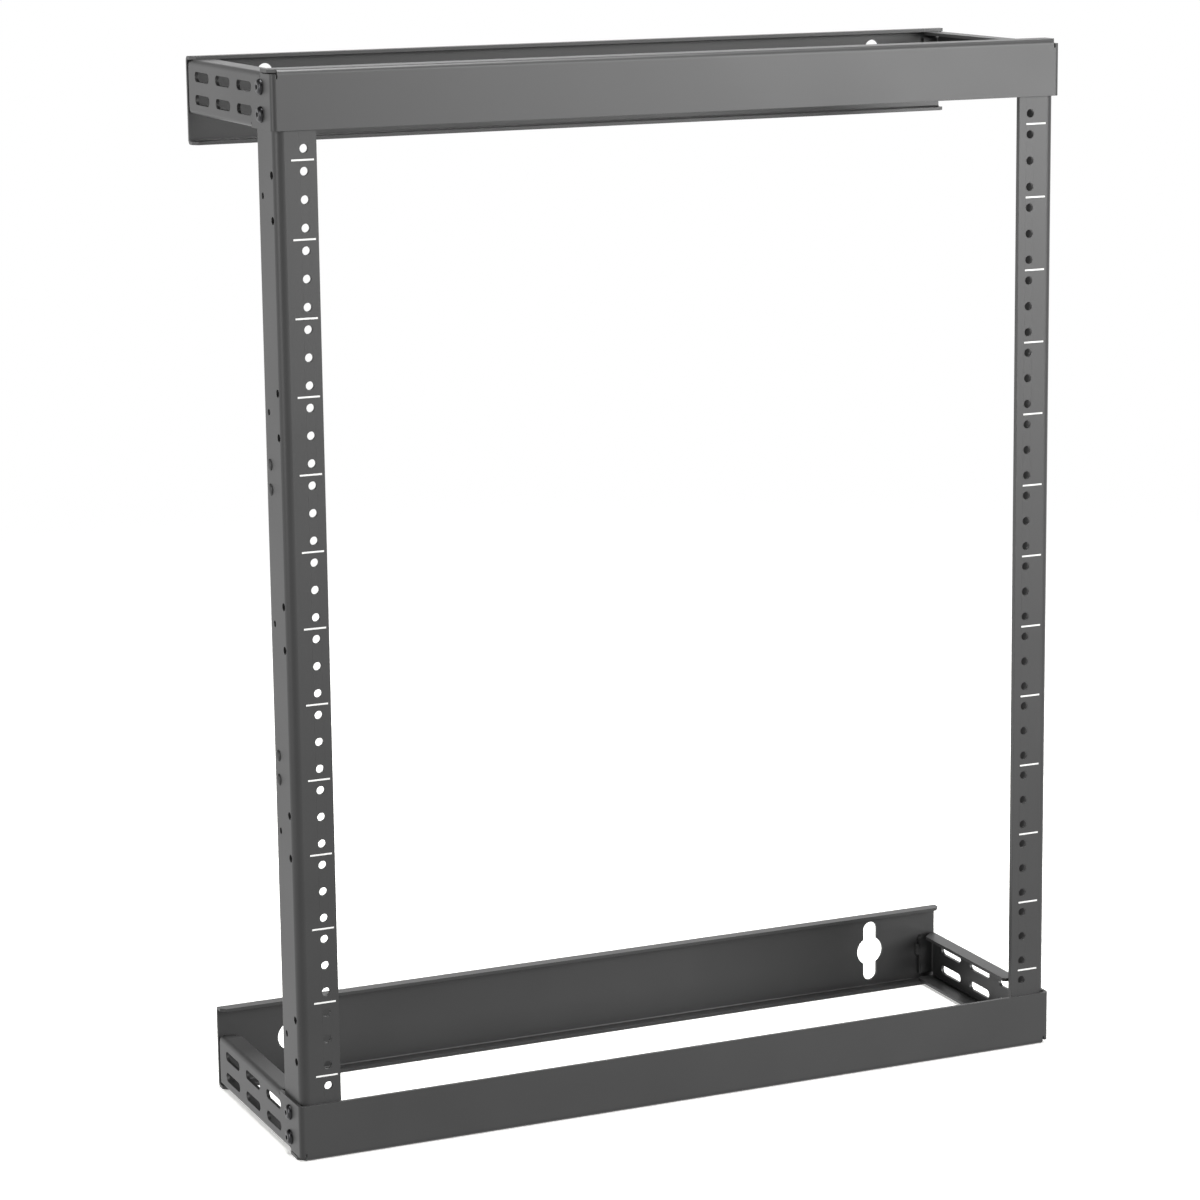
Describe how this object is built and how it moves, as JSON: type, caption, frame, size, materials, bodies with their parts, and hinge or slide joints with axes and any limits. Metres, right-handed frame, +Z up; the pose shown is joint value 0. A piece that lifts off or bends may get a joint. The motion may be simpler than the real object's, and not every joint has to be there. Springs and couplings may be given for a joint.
{
  "type": "wall mount open frame rack",
  "caption": "Open wall rack: two folded steel end frames joined by two upright rails with tapped holes at 19-inch rack spacing, and keyholes at the wall side.",
  "frame": {"origin": "on the floor, under the middle of the rack's bounding box", "axes": "+Z up, +Y from the front to the wall, +X to the viewer's right"},
  "size_m": [0.5078, 0.1524, 0.6344],
  "materials": {
    "frame_steel": "satin black powder coat",
    "rail_steel": "satin black powder coat",
    "hardware": "black coated steel, smooth"
  },
  "bodies": {
    "root": {"upper_bracket": "frame_steel", "lower_bracket": "frame_steel", "upper_wall_plate": "frame_steel", "lower_wall_plate": "frame_steel", "left_rail": "rail_steel", "right_rail": "rail_steel", "bolt_1": "hardware", "bolt_2": "hardware", "bolt_3": "hardware", "bolt_4": "hardware", "bolt_5": "hardware", "bolt_6": "hardware", "bolt_7": "hardware", "bolt_8": "hardware", "nut_1": "hardware", "nut_2": "hardware", "nut_3": "hardware", "nut_4": "hardware", "nut_5": "hardware", "nut_6": "hardware", "nut_7": "hardware", "nut_8": "hardware", "rivet_1": "hardware", "rivet_2": "hardware", "rivet_3": "hardware", "rivet_4": "hardware", "rivet_5": "hardware", "rivet_6": "hardware", "rivet_7": "hardware", "rivet_8": "hardware", "weld_1": "frame_steel", "weld_2": "frame_steel", "weld_3": "frame_steel", "weld_4": "frame_steel", "weld_5": "frame_steel", "weld_6": "frame_steel", "weld_7": "frame_steel", "weld_8": "frame_steel"}
  },
  "joints": []
}
